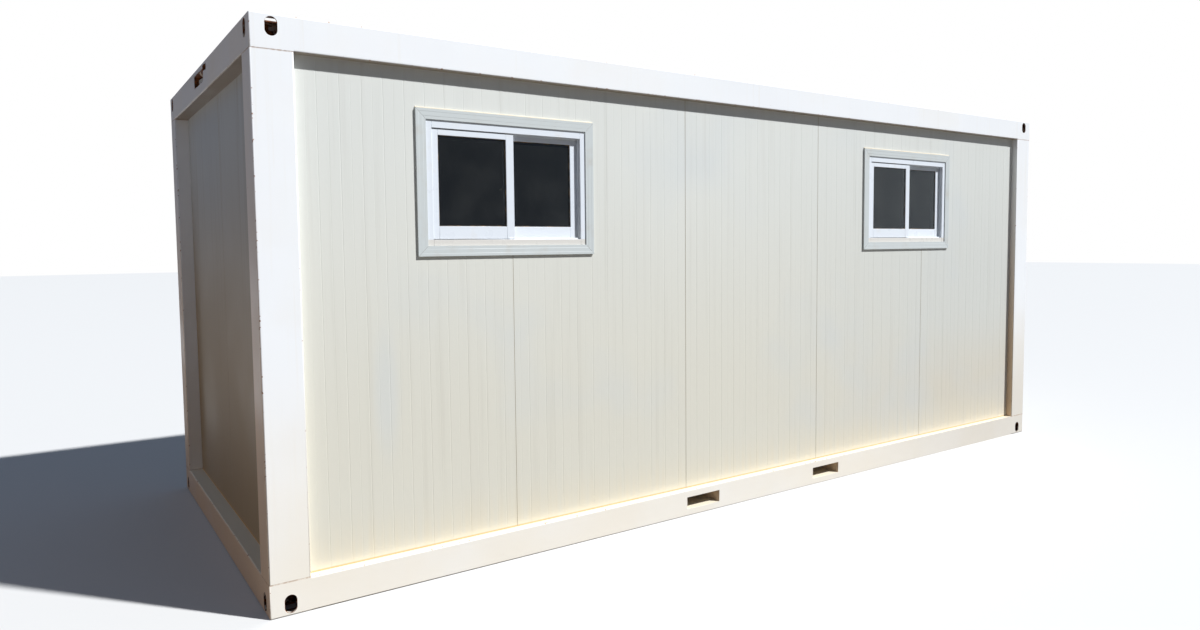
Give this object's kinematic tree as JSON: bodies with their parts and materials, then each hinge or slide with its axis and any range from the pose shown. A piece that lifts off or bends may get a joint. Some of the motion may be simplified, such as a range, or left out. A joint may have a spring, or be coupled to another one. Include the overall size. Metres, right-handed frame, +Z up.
{
  "type": "shipping container cabin",
  "caption": "Steel-framed site cabin the size of a short shipping container, with panel walls, two sliding windows, a door and slotted corner fittings.",
  "frame": {"origin": "middle of the base, on the ground", "axes": "+X along the length, to the right of the front wall; -Y out of the front wall with the two windows; +Z up"},
  "size_m": [6.058, 2.438, 2.591],
  "materials": {
    "frame_paint": "semi gloss, lightly soiled",
    "panel_coating": "satin, finely ribbed",
    "trim_aluminium": "satin",
    "window_pvc": "satin",
    "glass": "gloss, dark",
    "latch_metal": "satin",
    "galvanised_steel": "matt, spangled",
    "roof_sheet_steel": "matt, weathered",
    "floor_board": "sealed",
    "ceiling_board": "matt",
    "door_paint": "satin",
    "door_metal": "brushed"
  },
  "bodies": {
    "root": {"base_rail_front": "frame_paint", "base_rail_back": "frame_paint", "base_rail_left": "frame_paint", "base_rail_right": "frame_paint", "roof_rail_front": "frame_paint", "roof_rail_back": "frame_paint", "roof_rail_left": "frame_paint", "roof_rail_right": "frame_paint", "post_front_left": "frame_paint", "post_front_right": "frame_paint", "post_back_left": "frame_paint", "post_back_right": "frame_paint", "base_fitting_front_left": "frame_paint", "base_fitting_front_right": "frame_paint", "base_fitting_back_left": "frame_paint", "base_fitting_back_right": "frame_paint", "top_fitting_front_left": "frame_paint", "top_fitting_front_right": "frame_paint", "top_fitting_back_left": "frame_paint", "top_fitting_back_right": "frame_paint", "fork_pocket_left": "frame_paint", "fork_pocket_right": "frame_paint", "floor_joists": "galvanised_steel", "floor_deck": "floor_board", "roof_sheet": "roof_sheet_steel", "roof_seams": "roof_sheet_steel", "ceiling": "ceiling_board", "front_panel_1": "panel_coating", "front_panel_2": "panel_coating", "front_panel_3": "panel_coating", "front_panel_4": "panel_coating", "front_panel_5": "panel_coating", "back_panel_1": "panel_coating", "back_panel_2": "panel_coating", "back_panel_3": "panel_coating", "back_panel_4": "panel_coating", "back_panel_5": "panel_coating", "left_end_panels": "panel_coating", "right_end_panels": "panel_coating", "window_left_trim": "trim_aluminium", "window_left_frame": "window_pvc", "window_left_outer_sash": "window_pvc", "window_left_inner_sash": "window_pvc", "window_left_glass": "glass", "window_right_trim": "trim_aluminium", "window_right_frame": "window_pvc", "window_right_outer_sash": "window_pvc", "window_right_inner_sash": "window_pvc", "window_right_glass": "glass", "window_latches": "latch_metal", "door_frame": "door_paint", "door_leaf": "door_paint", "door_handles": "door_metal", "door_hinges": "door_metal"}
  },
  "joints": []
}
